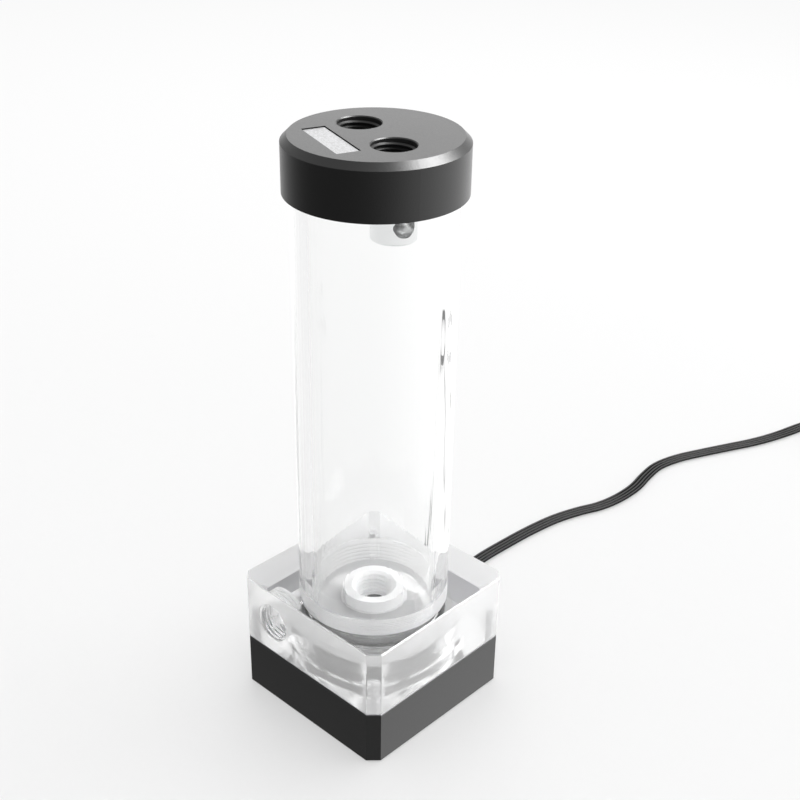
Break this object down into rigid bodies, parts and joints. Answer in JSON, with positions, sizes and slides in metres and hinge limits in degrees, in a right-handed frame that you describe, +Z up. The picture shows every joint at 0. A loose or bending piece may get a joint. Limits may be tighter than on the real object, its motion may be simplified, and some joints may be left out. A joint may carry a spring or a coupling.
{
  "type": "coolant pump reservoir",
  "caption": "Liquid-cooling pump in a square black base with a clear block, a clear screw-in cylindrical reservoir and a black screw-on cap with two threaded ports.",
  "frame": {"origin": "centre of the underside of the pump base", "axes": "+Z up along the reservoir tube; the outlet port faces -Y and the cable leaves towards +Y"},
  "size_m": [0.1153, 0.3453, 0.1973],
  "materials": {
    "anodised_black": "black anodised, fine satin",
    "cover_black": "matt black powder coat",
    "can_plastic": "moulded black plastic",
    "core_steel": "stacked laminations",
    "copper_winding": "enamelled copper wire",
    "board_green": "solder mask",
    "chip_black": "moulded packages",
    "ceramic_white": "polished ceramic",
    "impeller_plastic": "moulded black plastic",
    "carbon_bush": "carbon graphite",
    "magnet_grey": "coated ferrite",
    "clear_acrylic": "polished clear acrylic, machined faces slightly frosted",
    "black_rubber": "black rubber",
    "clear_silicone": "clear silicone",
    "label_metal": "bare brushed plate",
    "insert_metal": "bright satin metal",
    "screw_steel": "machine screws",
    "cable_black": "black cable jacket",
    "tie_black": "black tie",
    "plug_black": "moulded black plastic",
    "contact_brass": "plated contacts"
  },
  "bodies": {
    "pump": {"base_housing": "anodised_black", "bottom_cover": "cover_black", "separation_can": "can_plastic", "stator_core": "core_steel", "stator_coils": "copper_winding", "circuit_board": "board_green", "board_parts": "chip_black", "pump_shaft": "ceramic_white", "thrust_washer": "ceramic_white", "pump_top": "clear_acrylic", "pump_oring": "black_rubber", "corner_screws": "screw_steel", "cover_screws": "screw_steel", "cable_grommet": "black_rubber", "cable": "cable_black", "cable_coil": "cable_black", "cable_tie": "tie_black", "connector_housing": "plug_black", "connector_terminals": "contact_brass"},
    "rotor": {"impeller": "impeller_plastic", "impeller_bush": "carbon_bush", "rotor_magnet": "magnet_grey"},
    "tube_seal": {"tube_gasket": "clear_silicone"},
    "tube": {"reservoir_tube": "clear_acrylic"},
    "cap_seal": {"cap_oring": "black_rubber"},
    "cap": {"top_cap": "anodised_black", "label_plate": "label_metal", "inlet_insert": "insert_metal"}
  },
  "joints": [
    {"name": "impeller_spin", "type": "hinge", "parent": "pump", "child": "rotor", "pos_m": [0, 0, 0.0217], "axis": [0, 0, 1], "continuous": true},
    {"name": "tube_lift", "type": "slide", "parent": "pump", "child": "tube_seal", "axis": [0, 0, 1], "range_m": [0, 0.012]},
    {"name": "tube_turn", "type": "hinge", "parent": "tube_seal", "child": "tube", "pos_m": [0, 0, 0.038], "axis": [0, 0, 1], "range_deg": [0, 2880]},
    {"name": "cap_lift", "type": "slide", "parent": "tube", "child": "cap_seal", "axis": [0, 0, 1], "range_m": [0, 0.01]},
    {"name": "cap_turn", "type": "hinge", "parent": "cap_seal", "child": "cap", "pos_m": [0, 0, 0.1885], "axis": [0, 0, 1], "range_deg": [0, 2400]}
  ],
  "couplings": [
    {"joint": "tube_lift", "follows": "tube_turn", "m_per_rad": 0.0002387},
    {"joint": "cap_lift", "follows": "cap_turn", "m_per_rad": 0.0002387}
  ]
}
